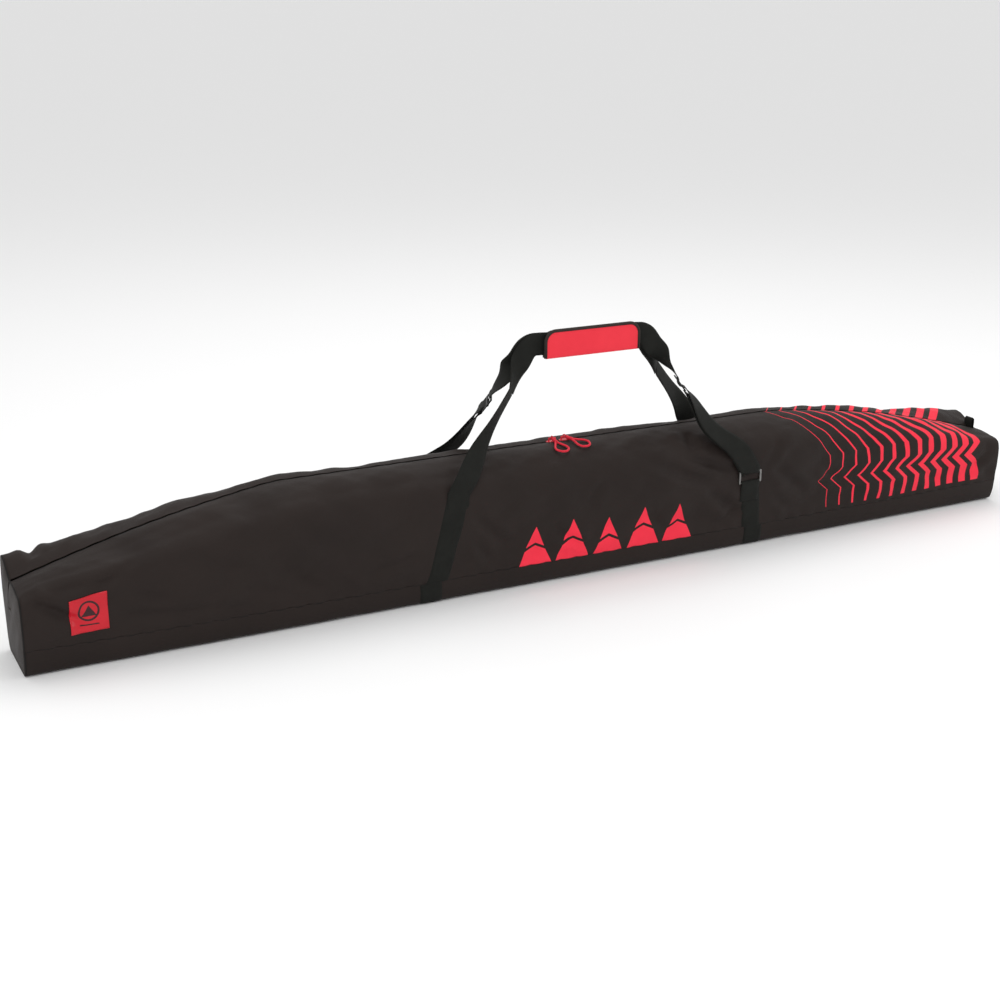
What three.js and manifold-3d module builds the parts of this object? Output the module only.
// A single-pair ski bag, lying closed on its base with its carry handle upright.
// Millimetres, +Z up, X along the bag with the end tab at +X, the printed front facing -Y.
import * as THREE from 'three';
import { mergeVertices } from 'three/addons/utils/BufferGeometryUtils.js';
import Module from 'manifold-3d';

const wasm = await Module();
wasm.setup();

// ---- driving dimensions ----
const LENGTH = 1850;
const HALF = LENGTH / 2;
const FABRIC = 2; // panel thickness, coating and seam allowance included
const GAP = 0.3; // left between pieces that touch or are sewn together
const WEB_W = 38; // webbing width
const WEB_T = 1.5; // webbing thickness
const FLOOR = WEB_T + GAP; // the base is carried on the two webbing bands that pass under it

// The mouth: the straight, level middle of the zip, where the two flaps swing.
const MOUTH = [-520, 430];
const LEVEL = [MOUTH[0] - 12, MOUTH[1] + 12]; // the bag tapers from here to its ends
const HINGE_Y = 70;
const HINGE_Z = 180;

// Half sections of the bag, as [distance from the middle plane, height], from the base to the zip.
const MIDDLE = [
  [0, 0], [52, 0], [65, 14], [69, 38], [73, 105],
  [HINGE_Y, HINGE_Z], [46, 204], [22, 220], [8, 223],
];
const FRONT_END = [[0, 0], [50, 0], [62, 14], [66, 42], [69, 80], [66, 116], [43, 124], [22, 127], [8, 127]];
const BACK_END = [[0, 0], [50, 0], [62, 14], [66, 42], [70, 90], [66, 156], [45, 155], [22, 138], [8, 128]];
const SEAM = 3; // place of the base seam in a section
const SHOULDER = 5; // place of the shoulder fold, which is the flap's hinge

// The zip.
const COIL = { inner: 0.8, width: 2.6, height: 2.2 };
const TAPE = { outer: 20, inner: COIL.inner + 0.4, thickness: 0.8 };
const TAPE_TOP = MIDDLE.at(-1)[1] - FABRIC - 0.6;
const ZIP_STOP = 12; // distance from each end panel to the end stop

// The handle.
const STRAP_CENTRE = 40; // the back strap is the front one turned half round about the upright at this X
const WRAP = {
  from: -52,
  to: 146,
  bottom: 371,
  top: 418,
  wall: 2.2,
  half: 5.5, // half its thickness
  radius: 20, // of its upper corners
  endTrim: 8, // the sleeve stops this far short of the cover, at each end
  slotHeight: 14, // of the open slot low in its front, where the straps are laid in
  past: 9, // how far a cut runs past a face
};
const GRIP_Z = (WRAP.bottom + WRAP.top) / 2;
const GRIP_Y = (WEB_T + GAP) / 2 + 0.2; // each strap's distance from the middle plane, inside the wrap

// ---- mesh helpers ----

// Joins rings of points, each with the same count, into one closed body. A looped body has no end caps.
function loft(rings, looped = false) {
  const count = rings[0].length;
  const vertices = rings.flat().flat();
  const index = [];
  const steps = looped ? rings.length : rings.length - 1;
  for (let r = 0; r < steps; r += 1) {
    const next = (r + 1) % rings.length;
    for (let k = 0; k < count; k += 1) {
      const j = (k + 1) % count;
      const [a, b, c, d] = [r * count + k, r * count + j, next * count + j, next * count + k];
      // The two faces of a thin sheet fold along the same diagonals, so a twisted sheet stays as thin.
      index.push(...(k < count / 2 ? [a, b, c, a, c, d] : [a, b, d, b, c, d]));
    }
  }
  if (!looped) {
    capRing(rings, 0, index, true);
    capRing(rings, rings.length - 1, index, false);
  }
  return facingOut(vertices, index);
}

// Closes one end of a loft with a flat polygon.
function capRing(rings, at, index, flip) {
  const ring = rings[at].map((p) => new THREE.Vector3(...p));
  const normal = new THREE.Vector3();
  ring.forEach((p, k) => normal.add(p.clone().cross(ring[(k + 1) % ring.length])));
  normal.normalize();
  const u = ring[1].clone().sub(ring[0]).normalize();
  const v = normal.clone().cross(u);
  const flat = ring.map((p) => new THREE.Vector2(p.dot(u), p.dot(v)));
  const start = at * ring.length;
  for (const [a, b, c] of THREE.ShapeUtils.triangulateShape(flat, [])) {
    index.push(...(flip ? [start + a, start + c, start + b] : [start + a, start + b, start + c]));
  }
}

function facingOut(vertices, index) {
  const geometry = new THREE.BufferGeometry();
  geometry.setAttribute('position', new THREE.Float32BufferAttribute(vertices, 3));
  geometry.setIndex(volume(vertices, index) < 0 ? index.reverse() : index);
  return geometry;
}

function volume(v, index) {
  let total = 0;
  for (let k = 0; k < index.length; k += 3) {
    const corner = (n) => new THREE.Vector3(...v.slice(3 * n, 3 * n + 3));
    const [a, b, c] = index.slice(k, k + 3).map(corner);
    total += a.dot(b.cross(c));
  }
  return total;
}

function solid(geometry) {
  const clean = geometry.clone();
  clean.deleteAttribute('normal');
  clean.deleteAttribute('uv');
  const merged = mergeVertices(clean, 1e-4);
  return new wasm.Manifold(new wasm.Mesh({
    numProp: 3,
    vertProperties: new Float32Array(merged.attributes.position.array),
    triVerts: new Uint32Array(merged.index.array),
  }));
}

function fromSolid(manifold) {
  const mesh = manifold.getMesh();
  const geometry = new THREE.BufferGeometry();
  geometry.setAttribute('position', new THREE.BufferAttribute(new Float32Array(mesh.vertProperties), 3));
  geometry.setIndex(new THREE.BufferAttribute(new Uint32Array(mesh.triVerts), 1));
  return geometry;
}

function joined(...geometries) {
  return fromSolid(geometries.map(solid).reduce((a, b) => a.add(b)));
}

function cut(geometry, ...tools) {
  return fromSolid(tools.map(solid).reduce((a, b) => a.subtract(b), solid(geometry)));
}

function common(a, b) {
  return fromSolid(solid(a).intersect(solid(b)));
}

function block(x, y, z) {
  const box = new THREE.BoxGeometry(x[1] - x[0], y[1] - y[0], z[1] - z[0]);
  return box.translate((x[0] + x[1]) / 2, (y[0] + y[1]) / 2, (z[0] + z[1]) / 2);
}

// ---- the bag's section ----

// 0 at an end panel, 1 along the level middle.
function fullness(x) {
  const run = x < 0 ? HALF + LEVEL[0] : HALF - LEVEL[1];
  return Math.min(1, (HALF - Math.abs(x)) / run);
}

// Half section at x, as [y, z] points; side is -1 for the front and 1 for the back.
function halfSection(x, side) {
  const end = side < 0 ? FRONT_END : BACK_END;
  const t = fullness(x);
  return MIDDLE.map(([y, z], k) => [
    side * THREE.MathUtils.lerp(end[k][0], y, t),
    FLOOR + THREE.MathUtils.lerp(end[k][1], z, t),
  ]);
}

// Moves an open [y, z] line sideways by a distance, to its left when the distance is above 0.
function offsetLine(line, distance) {
  const last = line.length - 1;
  return line.map((p, k) => {
    const d1 = unit2(line[Math.max(0, k - 1)], line[Math.max(1, k)]);
    const d2 = unit2(line[Math.min(last - 1, k)], line[Math.min(last, k + 1)]);
    const side = [-(d1[1] + d2[1]), d1[0] + d2[0]];
    const mitre = (2 * distance) / (side[0] ** 2 + side[1] ** 2);
    return [p[0] + side[0] * mitre, p[1] + side[1] * mitre];
  });
}

function unit2(a, b) {
  const d = [b[0] - a[0], b[1] - a[1]];
  const size = Math.hypot(...d) || 1;
  return [d[0] / size, d[1] / size];
}

// Takes a little off both ends of an open line, so that neighbours sewn edge to edge keep their gap.
function trimmed(line, distance = GAP / 2) {
  const out = line.map((p) => [...p]);
  const pull = (at, towards) => {
    const d = unit2(line[at], line[towards]);
    out[at] = [line[at][0] + d[0] * distance, line[at][1] + d[1] * distance];
  };
  pull(0, 1);
  pull(line.length - 1, line.length - 2);
  return out;
}

// A panel of cloth: the part of the half section from point a to point b, along the bag through stations xs.
function panel(xs, side, a, b) {
  return loft(xs.map((x) => {
    const outer = trimmed(halfSection(x, side).slice(a, b + 1));
    const inner = offsetLine(outer, side * FABRIC);
    return [...outer, ...inner.reverse()].map(([y, z]) => [x, y, z]);
  }));
}

const INSIDE = HALF - FABRIC - GAP; // where the long panels stop, against the end panels
const TAPER_STEPS = 8; // a tapering panel is slightly twisted, so it takes several short steps
const TAPER = [...Array(TAPER_STEPS).keys()].map((k) => k / TAPER_STEPS);
const STATIONS = [
  ...TAPER.map((t) => THREE.MathUtils.lerp(-INSIDE, LEVEL[0], t)),
  ...LEVEL,
  ...TAPER.map((t) => THREE.MathUtils.lerp(INSIDE, LEVEL[1], t)).reverse(),
];

// ---- cloth panels ----

function basePanel() {
  return loft(STATIONS.map((x) => {
    const front = halfSection(x, -1).slice(1, SEAM + 1);
    const back = halfSection(x, 1).slice(1, SEAM + 1);
    const outer = trimmed([...front.reverse(), ...back]);
    const inner = offsetLine(outer, FABRIC);
    return [...outer, ...inner.reverse()].map(([y, z]) => [x, y, z]);
  }));
}

// The room that a mouth flap takes, with a margin added all round.
function mouthRoom(side, margin) {
  const beyond = 20;
  const y = side < 0 ? [-HINGE_Y - beyond, 0] : [0, HINGE_Y + beyond];
  const bottom = FLOOR + HINGE_Z - margin;
  return block([MOUTH[0] - margin, MOUTH[1] + margin], y, [bottom, WRAP.bottom]);
}

function sidePanel(side) {
  const whole = panel(STATIONS, side, SEAM, MIDDLE.length - 1);
  return cut(whole, mouthRoom(side, GAP / 2));
}

function mouthFlap(side) {
  const whole = panel(STATIONS, side, SEAM, MIDDLE.length - 1);
  return common(whole, mouthRoom(side, -GAP / 2));
}

function endPanel(end) {
  const front = halfSection(end * HALF, -1).slice(1);
  const back = halfSection(end * HALF, 1).slice(1);
  const outline = [...front, ...back.reverse()];
  const xs = [end * (HALF - FABRIC), end * HALF];
  return loft(xs.map((x) => outline.map(([y, z]) => [x, y, z])));
}

const BINDING = { clear: 3, thickness: 2.4, width: 12 }; // clear is left between it and the panels

// Binding tape over the raw seam allowance, inside a long base seam.
function seamBinding(side) {
  const y = side * (MIDDLE[SEAM][0] - FABRIC - BINDING.clear);
  const z = FLOOR + MIDDLE[SEAM][1];
  const [t, w] = [BINDING.thickness / 2, BINDING.width / 2];
  return block([MOUTH[0], MOUTH[1]], [y - t, y + t], [z - w, z + w]);
}

// Binding tape round the raw seam allowance, inside an end panel, along its base.
function endBinding(end) {
  const x = end * (INSIDE - BINDING.clear);
  const t = BINDING.thickness / 2;
  const reach = FRONT_END[1][0] - BINDING.clear * 2;
  const foot = FLOOR + FABRIC + GAP;
  return block([x - t, x + t], [-reach, reach], [foot, foot + BINDING.width]);
}

// ---- zip ----

// One half of the zip tape or coil between two stations, from a [y, z] profile made at each station.
function zipStrip(xs, side, profile) {
  return loft(xs.map((x) => {
    const drop = MIDDLE.at(-1)[1] - (halfSection(x, side).at(-1)[1] - FLOOR);
    return profile.map(([y, z]) => [x, side * y, FLOOR + z - drop]);
  }));
}

const LIP = MIDDLE.at(-1)[0]; // the panels' edge beside the zip
const TAPE_SLOPE = 2.6; // how far the tape drops towards its outer edge
const TAPE_PROFILE = [
  [TAPE.inner, TAPE_TOP],
  [LIP, TAPE_TOP],
  [TAPE.outer, TAPE_TOP - TAPE_SLOPE],
  [TAPE.outer, TAPE_TOP - TAPE_SLOPE - TAPE.thickness],
  [LIP, TAPE_TOP - TAPE.thickness],
  [TAPE.inner, TAPE_TOP - TAPE.thickness],
];
const CLOSED_SLOPE = 1.6; // the same on the narrower closed runs
const COIL_BASE = TAPE_TOP + GAP;
const COIL_PROFILE = [
  [COIL.inner, COIL_BASE],
  [COIL.inner, COIL_BASE + COIL.height],
  [COIL.inner + COIL.width, COIL_BASE + COIL.height],
  [COIL.inner + COIL.width, COIL_BASE],
];
const MOUTH_ZIP = [MOUTH[0] + GAP / 2, MOUTH[1] - GAP / 2];
const LEFT_ZIP = [-INSIDE + ZIP_STOP, LEVEL[0], MOUTH[0] - GAP / 2];
const RIGHT_ZIP = [MOUTH[1] + GAP / 2, LEVEL[1], INSIDE - ZIP_STOP];

// The closed run of zip towards an end: both tapes lie edge to edge under one row of locked coils.
function closedZip(xs) {
  const half = [
    [0, TAPE_TOP - TAPE.thickness],
    [LIP, TAPE_TOP - TAPE.thickness],
    [2 * LIP, TAPE_TOP - TAPE.thickness - CLOSED_SLOPE],
    [2 * LIP, TAPE_TOP - CLOSED_SLOPE],
    [LIP, TAPE_TOP],
    [COIL.inner + COIL.width, TAPE_TOP],
    [COIL.inner + COIL.width, COIL_BASE + COIL.height],
    [0, COIL_BASE + COIL.height],
  ];
  return joined(zipStrip(xs, -1, half), zipStrip(xs, 1, half));
}

// The crimped stop at the end of the coils.
function zipStop(end) {
  const x = end * (INSIDE - ZIP_STOP / 2);
  const z = halfSection(x, -1).at(-1)[1] - FABRIC - 1;
  const half = { length: 4, width: 4, height: 1.4 };
  return block(
    [x - half.length, x + half.length],
    [-half.width, half.width],
    [z - half.height, z + half.height],
  );
}

// ---- zip sliders ----

const SLIDER = { length: 20, width: 11, plate: 1.5, neck: 1.0, slack: 1.0 }; // slack is left under the tape
const SLIDER_X = { left: -24, right: 0 };
const COIL_TOP = FLOOR + COIL_BASE + COIL.height;
const TAPE_UNDER = FLOOR + TAPE_TOP - TAPE.thickness;

// The bar that a pull hangs on, over the slider's plate.
const BAIL = { rise: 5, half: 1, leg: 6, reach: 7.2 };
const BAIL_Z = COIL_TOP + GAP + SLIDER.plate + BAIL.rise;

// Outline of a slider's plate: pointed where the coils part.
function sliderPlate(x, nose, z) {
  const [l, w] = [SLIDER.length / 2, SLIDER.width / 2];
  const outline = [[-l, -w + 1.5], [-l, w - 1.5], [l - 6, w], [l, w - 3], [l, -w + 3], [l - 6, -w]];
  return loft([z, z + SLIDER.plate].map((h) => outline.map(([u, v]) => [x + nose * u, v, h])));
}

function slider(x, nose) {
  const top = COIL_TOP + GAP;
  const bottom = TAPE_UNDER - SLIDER.slack - SLIDER.plate;
  const neckX = [x + nose * 5 - 2.5, x + nose * 5 + 2.5];
  const neck = block(neckX, [-SLIDER.neck / 2, SLIDER.neck / 2], [bottom + 0.5, top + 0.5]);
  const rise = top + SLIDER.plate - 0.4;
  const y = [-BAIL.half, BAIL.half];
  const thick = BAIL.reach - BAIL.leg;
  const legHeight = [rise, BAIL_Z + BAIL.half];
  const legs = [-BAIL.leg, BAIL.leg].map((u) => block([x + u - thick, x + u + thick], y, legHeight));
  const bar = block([x - BAIL.reach, x + BAIL.reach], y, [BAIL_Z - BAIL.half, BAIL_Z + BAIL.half]);
  return joined(sliderPlate(x, nose, top), sliderPlate(x, nose, bottom), neck, ...legs, bar);
}

// ---- cord pulls ----

const PULL = { cord: 3.6, barrel: 5.6, barrelLength: 13, eye: 3.4, eyeCord: 1.6 };
const PULL_SKEW = 0.6; // the right pull lies turned this far towards +X, in radians
const PULL_DIP = 0.24; // both pulls rest sloping down towards the front, in radians

// Closed tube of a given thickness round a closed curve.
function hoop(points, thickness, sides = 8, steps = 28) {
  const curve = new THREE.CatmullRomCurve3(points, true);
  const frames = curve.computeFrenetFrames(steps, true);
  const rings = [];
  for (let s = 0; s < steps; s += 1) {
    const centre = curve.getPointAt(s / steps);
    rings.push([...Array(sides).keys()].map((k) => {
      const turn = (2 * Math.PI * k) / sides;
      const p = centre.clone();
      p.addScaledVector(frames.normals[s], (Math.cos(turn) * thickness) / 2);
      p.addScaledVector(frames.binormals[s], (Math.sin(turn) * thickness) / 2);
      return p.toArray();
    }));
  }
  return loft(rings, true);
}

// A cord pull made along +u from its eye, in the plane z = 0, and then laid on the front slope.
function pull(x, skew) {
  const eye = hoop([...Array(8).keys()].map((k) => {
    const turn = (2 * Math.PI * k) / 8;
    return new THREE.Vector3(PULL.eye * Math.cos(turn), 0, PULL.eye * Math.sin(turn));
  }), PULL.eyeCord, 8, 16);
  const barrel = new THREE.CylinderGeometry(PULL.barrel / 2, PULL.barrel / 2, PULL.barrelLength, 12);
  barrel.rotateZ(Math.PI / 2).translate(PULL.eye + PULL.barrelLength / 2, 0, 0);
  const from = PULL.eye + PULL.barrelLength - 2;
  const teardrop = [[0, 0], [9, 6], [20, 11.5], [28, 6], [30, 0], [28, -6], [20, -11.5], [9, -6]];
  const loop = hoop(teardrop.map(([u, v]) => new THREE.Vector3(from + u, v, 0)), PULL.cord, 8, 36);
  const whole = joined(eye, barrel, loop);
  whole.rotateZ(-Math.PI / 2 + skew);
  whole.rotateX(PULL_DIP);
  return whole.translate(x, 0, BAIL_Z);
}

// ---- webbing ----

// A flat ribbon along points [x, y, z]; across gives the direction of its width at each of them.
// At a flush place the width lies exactly that way, along a bar or a seam; elsewhere it is squared to the
// ribbon.
function ribbon(points, across, flush = [], width = WEB_W, thickness = WEB_T) {
  const centre = points.map((p) => new THREE.Vector3(...p));
  return loft(inShortSteps(centre.map((p, k) => {
    const before = centre[Math.max(0, k - 1)];
    const after = centre[Math.min(centre.length - 1, k + 1)];
    const along = after.clone().sub(before).normalize();
    const w = new THREE.Vector3(...across[k]);
    w.addScaledVector(along, flush.includes(k) ? 0 : -w.dot(along)).normalize();
    const n = along.clone().cross(w).normalize();
    return [[1, 1], [1, -1], [-1, -1], [-1, 1]].map(([a, b]) => p.clone()
      .addScaledVector(w, (a * width) / 2)
      .addScaledVector(n, (b * thickness) / 2)
      .toArray());
  })));
}

// Straight rings between each two of a ribbon's, so that its twist is spread evenly.
function inShortSteps(rings, steps = 4) {
  const between = (a, b, t) => a.map((p, k) => p.map((c, axis) => THREE.MathUtils.lerp(c, b[k][axis], t)));
  const out = rings.slice(1).flatMap((next, k) =>
    [...Array(steps).keys()].map((s) => between(rings[k], next, s / steps)));
  return [...out, rings.at(-1)];
}

// Moves the first and the last point along the line, so that neighbouring runs keep their gap.
function shortened(points, start, end) {
  const out = points.map((p) => [...p]);
  const shift = (at, next, distance) => {
    const a = new THREE.Vector3(...points[at]);
    const b = new THREE.Vector3(...points[next]);
    out[at] = a.addScaledVector(b.sub(a).normalize(), distance).toArray();
  };
  shift(0, 1, start);
  shift(out.length - 1, out.length - 2, end);
  return out;
}

// The front strap is written out; the back strap is the same one turned half round.
const turned = ([x, y, z]) => [2 * STRAP_CENTRE - x, -y, z];
const turnedWay = ([x, y, z]) => [-x, -y, z];

function strapRibbon(side, points, across, flush) {
  if (side < 0) {
    return ribbon(points, across, flush);
  }
  return ribbon(points.map(turned), across.map(turnedWay), flush);
}

// The rectangular ring that a strap's doubled end is looped through.
const RING = { x: 333, y: -76.4, z: 134, width: 47, height: 23, bar: 3.5 };
const RING_BARS = [-1, 1].map((s) => RING.z + (s * (RING.height - RING.bar)) / 2);
const TURN = RING.bar / 2 + GAP + WEB_T / 2; // from a bar's middle to the middle of the webbing round it

// The band sewn round the bag: from the front shoulder down, under the base, up to the back ring.
const BAND_X = { shoulder: -233, frontFoot: -283, backFoot: -269, ring: 2 * STRAP_CENTRE - RING.x };

function sewnBand(side) {
  const front = halfSection(0, -1).slice(1, SHOULDER + 1).reverse();
  const back = halfSection(0, 1).slice(1, SEAM + 2);
  const lying = offsetLine([...front, ...back], -GAP - WEB_T / 2);
  const top = lying[0][1];
  const bar = RING_BARS[0];
  const y = -RING.y;
  const turn = [[y - TURN, bar - 3], [y - TURN, bar + TURN], [y + TURN, bar + TURN], [y + TURN, bar - 3]];
  const tail = [[lying.at(-1)[0] + 6, bar - 12], [lying.at(-1)[0] + 6, bar - 30]];
  const points = [...lying, ...turn, ...tail].map(([py, pz]) => {
    const from = py < 0 ? BAND_X.frontFoot : BAND_X.backFoot;
    const to = py < 0 ? BAND_X.shoulder : BAND_X.ring;
    const height = py < 0 ? top : bar;
    return [THREE.MathUtils.lerp(from, to, Math.min(1, pz / height)), py, pz];
  });
  return band(side < 0 ? points : points.map(turned));
}

// Webbing that keeps its width along X while it goes round the bag through points [x, y, z].
function band(points) {
  const line = points.map(([, y, z]) => [y, z]);
  const [inner, outer] = [WEB_T / 2, -WEB_T / 2].map((d) => offsetLine(line, d));
  const half = WEB_W / 2;
  return loft(points.map(([x], k) => [
    [x - half, ...inner[k]],
    [x + half, ...inner[k]],
    [x + half, ...outer[k]],
    [x - half, ...outer[k]],
  ]));
}

function ring(side) {
  const [w, h, t] = [RING.width / 2, RING.height / 2, RING.bar / 2];
  const frame = cut(
    block([-w, w], [-t, t], [-h, h]),
    block([-w + RING.bar, w - RING.bar], [-9, 9], [-h + RING.bar, h - RING.bar]),
  );
  const at = side < 0 ? [RING.x, RING.y, RING.z] : turned([RING.x, RING.y, RING.z]);
  return frame.translate(...at);
}

// The loose run from the shoulder to the handle: it bends as the handle swings.
const PLAIN_LOW = [
  [-233, -72, 182.6], [-214, -69, 210], [-182, -48, 248], [-150, -34, 284], [-112, -20, 327],
];
const PLAIN_LOW_ACROSS = [[1, 0, 0], [1, 0.1, 0], [0.9, 0.4, 0], [0.75, 0.6, 0], [0.6, 0.7, -0.3]];
const PLAIN_HIGH = [[-112, -20, 327], [-90, -6, 366], [-64, -GRIP_Y, GRIP_Z - 1]];
const PLAIN_HIGH_ACROSS = [[0.6, 0.7, -0.3], [0, -0.15, -1], [0, 0, -1]];

function plainRun(side) {
  return strapRibbon(side, shortened(PLAIN_LOW, 0, 2), PLAIN_LOW_ACROSS, [0]);
}

// The adjuster: a flat three-bar slide, set across the webbing at this place and way.
const ADJUSTER = { width: 47, depth: 26, plate: 2.6, bar: 3.5, middleBar: 4 };

// How a strap comes down from the wrap to its ring. Places are in mm, ways are directions.
const DROP = {
  down: [[172, -5, 369], [192, -10, 340]],
  downWays: [[0, -0.1, -1], [0.3, 0.8, -0.5]],
  adjuster: [216, -20, 304],
  along: [0.5, -0.33, -0.8],
  across: [0.45, 0.85, -0.1],
  doubled: [[236, -35, 272], [256, -58, 229], [302, -79, 188]],
  doubledWays: [[0.7, 0.7, 0], [0.95, 0.25, 0], [1, 0, 0]],
  spread: [[1.5, -1, 1.2], [0.6, -1.8, 1], [0, -2, 0.6]], // half the gap between the two layers
};

function adjusterFrame() {
  const along = new THREE.Vector3(...DROP.along).normalize();
  const across = new THREE.Vector3(...DROP.across);
  across.addScaledVector(along, -across.dot(along)).normalize();
  return { at: new THREE.Vector3(...DROP.adjuster), along, across, up: along.clone().cross(across) };
}

function adjuster(side) {
  const { width, depth, plate, bar, middleBar } = ADJUSTER;
  const slotWidth = [-width / 2 + bar, width / 2 - bar];
  const slots = [-1, 1].map((s) => {
    const edges = [(s * middleBar) / 2, s * (depth / 2 - bar)].sort((a, b) => a - b);
    return block(edges, slotWidth, [-9, 9]);
  });
  const plateBlock = block([-depth / 2, depth / 2], [-width / 2, width / 2], [-plate / 2, plate / 2]);
  const body = cut(plateBlock, ...slots);
  const { at, along, across, up } = adjusterFrame();
  body.applyMatrix4(new THREE.Matrix4().makeBasis(along, across, up));
  body.translate(...at.toArray());
  if (side > 0) {
    body.rotateZ(Math.PI).translate(2 * STRAP_CENTRE, 0, 0);
  }
  return body;
}

// Points of webbing beside the adjuster, as [distance along, height over its plate].
function besideAdjuster(list) {
  const { at, along, up } = adjusterFrame();
  return list.map(([s, h]) => at.clone().addScaledVector(along, s).addScaledVector(up, h).toArray());
}

const WEAVE = [[-20, 2.9], [-10.4, 2.9], [-1.6, -2.7], [1.6, -2.7], [10.4, 2.9], [20, 2.9]];

// The strap's stiff upper part: up from the plain run, through the wrap and down through the adjuster.
function strap(side) {
  const { down, downWays } = DROP;
  const way = adjusterFrame().across.toArray();
  const held = [[-20, -GRIP_Y, GRIP_Z], [112, -GRIP_Y, GRIP_Z], [150, -GRIP_Y, GRIP_Z - 1]];
  const points = [...PLAIN_HIGH, ...held, ...down, ...besideAdjuster(WEAVE)];
  const upright = held.map(() => [0, 0, -1]);
  const ways = [...PLAIN_HIGH_ACROSS, ...upright, ...downWays, ...WEAVE.map(() => way)];
  const upTo = PLAIN_HIGH.length + held.length;
  const gripped = points.map((_, k) => k).slice(PLAIN_HIGH.length - 1, upTo);
  return strapRibbon(side, shortened(points, 2, 0), ways, gripped);
}

// The doubled run: down from the adjuster, round the ring's upper bar and back up under itself.
function doubledRun(side) {
  const { doubled, doubledWays, spread } = DROP;
  const bar = RING_BARS[1];
  const layer = (way) => doubled.map((p, k) => p.map((c, axis) => c + way * spread[k][axis]));
  const [start, finish] = besideAdjuster([[24, 2.9], [16, -2.4]]);
  const turn = [
    [RING.x - 1, RING.y - TURN, bar + 3],
    [RING.x, RING.y - TURN, bar - TURN],
    [RING.x, RING.y + TURN, bar - TURN],
    [RING.x - 1, RING.y + TURN, bar + 3],
  ];
  const way = adjusterFrame().across.toArray();
  const flat = turn.map(() => [1, 0, 0]);
  const points = [start, ...layer(1), ...turn, ...layer(-1).reverse(), finish];
  const ways = [way, ...doubledWays, ...flat, ...[...doubledWays].reverse(), way];
  return strapRibbon(side, points, ways, [4, 5, 6, 7]);
}

// ---- handle wrap ----

const FLAP = { inner: -8, thickness: 2.5, bind: 5 };

// Side view of the wrap with its two rounded upper corners, taken in by a margin.
function wrapShape(margin) {
  const { from, to, bottom, top, radius } = WRAP;
  const r = radius - margin;
  const shape = new THREE.Shape();
  shape.moveTo(from + margin, bottom);
  shape.lineTo(to - margin, bottom);
  shape.lineTo(to - margin, top - radius);
  shape.absarc(to - radius, top - radius, r, 0, Math.PI / 2);
  shape.lineTo(from + radius, top - margin);
  shape.absarc(from + radius, top - radius, r, Math.PI / 2, Math.PI);
  return shape;
}

function slab(shape, y) {
  const depth = y[1] - y[0];
  const geometry = new THREE.ExtrudeGeometry(shape, { depth, bevelEnabled: false, curveSegments: 8 });
  return geometry.rotateX(Math.PI / 2).translate(0, y[1], 0);
}

// The sleeve goes behind the straps, over them and part of the way down their front.
function wrapSleeve() {
  const { from, to, wall, bottom, top, half, past, endTrim, slotHeight } = WRAP;
  const body = slab(wrapShape(0), [-half, half]);
  const whole = [from - past, to + past];
  const ends = [[from - past, from + endTrim], [to - endTrim, to + past]].map((x) => block(
    x,
    [-half - past, half + past],
    [bottom - past, top + past],
  ));
  const room = block(whole, [-half + wall, half - wall], [bottom + wall, top - wall]);
  const slot = block(whole, [-half - past, 0], [bottom + wall, bottom + slotHeight]);
  return cut(body, room, slot, ...ends);
}

function wrapFlap() {
  const { inner, thickness, bind } = FLAP;
  return slab(wrapShape(bind + GAP), [inner - thickness, inner]);
}

function wrapBinding() {
  const { inner, thickness, bind } = FLAP;
  const { from, to, bottom, past } = WRAP;
  const outer = slab(wrapShape(0), [inner - thickness - 2 * GAP, inner]);
  const opening = slab(wrapShape(bind), [inner - thickness - past, inner + past]);
  const below = block([from - past, to + past], [inner - past, inner + past], [bottom - past, bottom + GAP]);
  return cut(outer, opening.translate(0, 0, -GAP), below);
}

const CLOSURE = { inset: 30, low: 20, high: 40 }; // the hook and loop tapes, from the wrap's ends and bottom

function tape(y) {
  const z = [WRAP.bottom + CLOSURE.low, WRAP.bottom + CLOSURE.high];
  return block([WRAP.from + CLOSURE.inset, WRAP.to - CLOSURE.inset], y, z);
}

// ---- small sewn pieces ----

const LABEL = { from: -856, size: 56, low: 58, y: -71.6, thickness: 1 };

function labelPatch() {
  const { from, size, low, y, thickness } = LABEL;
  return block([from, from + size], [y, y + thickness], [FLOOR + low, FLOOR + low + size]);
}

// The folded pull-tab of webbing at the end of the zip.
const TAB = { inset: 13, rise: 17, width: 20, thickness: 1.2 };

function endTab() {
  const x = HALF - TAB.inset;
  const z = halfSection(x, -1).at(-1)[1] + 5;
  const fold = z + TAB.rise - 2;
  const points = [
    [x - 5, 0, z], [x - 2, 0, fold], [x - 0.4, 0, z + TAB.rise], [x + 1.2, 0, fold], [x + 1.8, 0, z],
  ];
  return ribbon(points, points.map(() => [0, 1, 0]), [], TAB.width, TAB.thickness);
}

// ---- materials and assembly ----

const BROWN_CLOTH = { color: 0x2b2320, roughness: 0.72, metalness: 0 };
const BLACK_WEBBING = { color: 0x1d1e1b, roughness: 0.85, metalness: 0 };
const BLACK_TAPE = { color: 0x1a1817, roughness: 0.8, metalness: 0 };
const BLACK_NYLON = { color: 0x191a18, roughness: 0.45, metalness: 0 };
const RED_CLOTH = { color: 0xf2394f, roughness: 0.7, metalness: 0 };
const RED_CORD = { color: 0xe0263c, roughness: 0.6, metalness: 0 };
const RED_LABEL = { color: 0xd81f36, roughness: 0.35, metalness: 0 };
const DARK_METAL = { color: 0x3a3a3a, roughness: 0.35, metalness: 0.9 };

const group = new THREE.Group();

function add(name, geometry, look) {
  const mesh = new THREE.Mesh(geometry, new THREE.MeshStandardMaterial(look));
  mesh.name = name;
  group.add(mesh);
}

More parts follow.
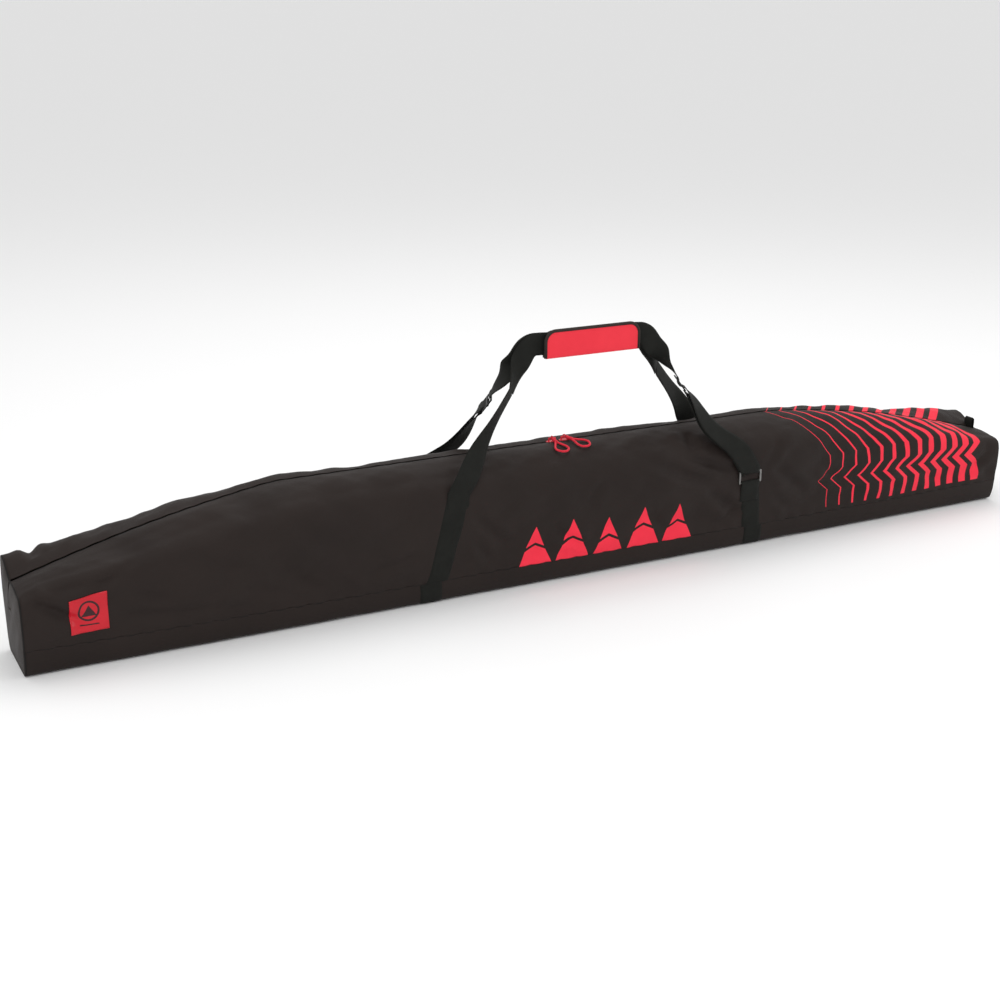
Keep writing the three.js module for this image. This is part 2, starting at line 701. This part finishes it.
add('base_panel', basePanel(), BROWN_CLOTH);
for (const [name, end] of [['left', -1], ['right', 1]]) {
  add(`end_panel_${name}`, endPanel(end), BROWN_CLOTH);
  add(`end_binding_${name}`, endBinding(end), BLACK_TAPE);
  add(`zip_run_${name}`, closedZip(end < 0 ? LEFT_ZIP : RIGHT_ZIP), BLACK_TAPE);
  add(`zip_stop_${name}`, zipStop(end), DARK_METAL);
}
for (const [name, side] of [['front', -1], ['back', 1]]) {
  add(`${name}_panel`, sidePanel(side), BROWN_CLOTH);
  add(`${name}_mouth_flap`, mouthFlap(side), BROWN_CLOTH);
  add(`${name}_seam_binding`, seamBinding(side), BLACK_TAPE);
  add(`${name}_zip_tape`, zipStrip(MOUTH_ZIP, side, TAPE_PROFILE), BLACK_TAPE);
  add(`${name}_zip_coil`, zipStrip(MOUTH_ZIP, side, COIL_PROFILE), BLACK_NYLON);
  add(`${name}_plain_run`, plainRun(side), BLACK_WEBBING);
  add(`${name}_doubled_run`, doubledRun(side), BLACK_WEBBING);
  add(`${name}_strap`, strap(side), BLACK_WEBBING);
  add(`${name}_adjuster`, adjuster(side), BLACK_NYLON);
  add(`${name}_ring`, ring(side), DARK_METAL);
}
add('sewn_band_left', sewnBand(-1), BLACK_WEBBING);
add('sewn_band_right', sewnBand(1), BLACK_WEBBING);
add('zip_slider_left', slider(SLIDER_X.left, 1), RED_CORD);
add('zip_slider_right', slider(SLIDER_X.right, -1), RED_CORD);
add('cord_pull_left', pull(SLIDER_X.left, 0), RED_CORD);
add('cord_pull_right', pull(SLIDER_X.right, PULL_SKEW), RED_CORD);
add('wrap_sleeve', wrapSleeve(), RED_CLOTH);
add('wrap_loop_tape', tape([-6.6, -5.8]), BLACK_TAPE);
add('wrap_hook_tape', tape([-7.7, -6.9]), BLACK_TAPE);
add('wrap_flap', wrapFlap(), RED_CLOTH);
add('wrap_binding', wrapBinding(), BLACK_TAPE);
add('label_patch', labelPatch(), RED_LABEL);
add('end_tab', endTab(), BLACK_WEBBING);

export default group;
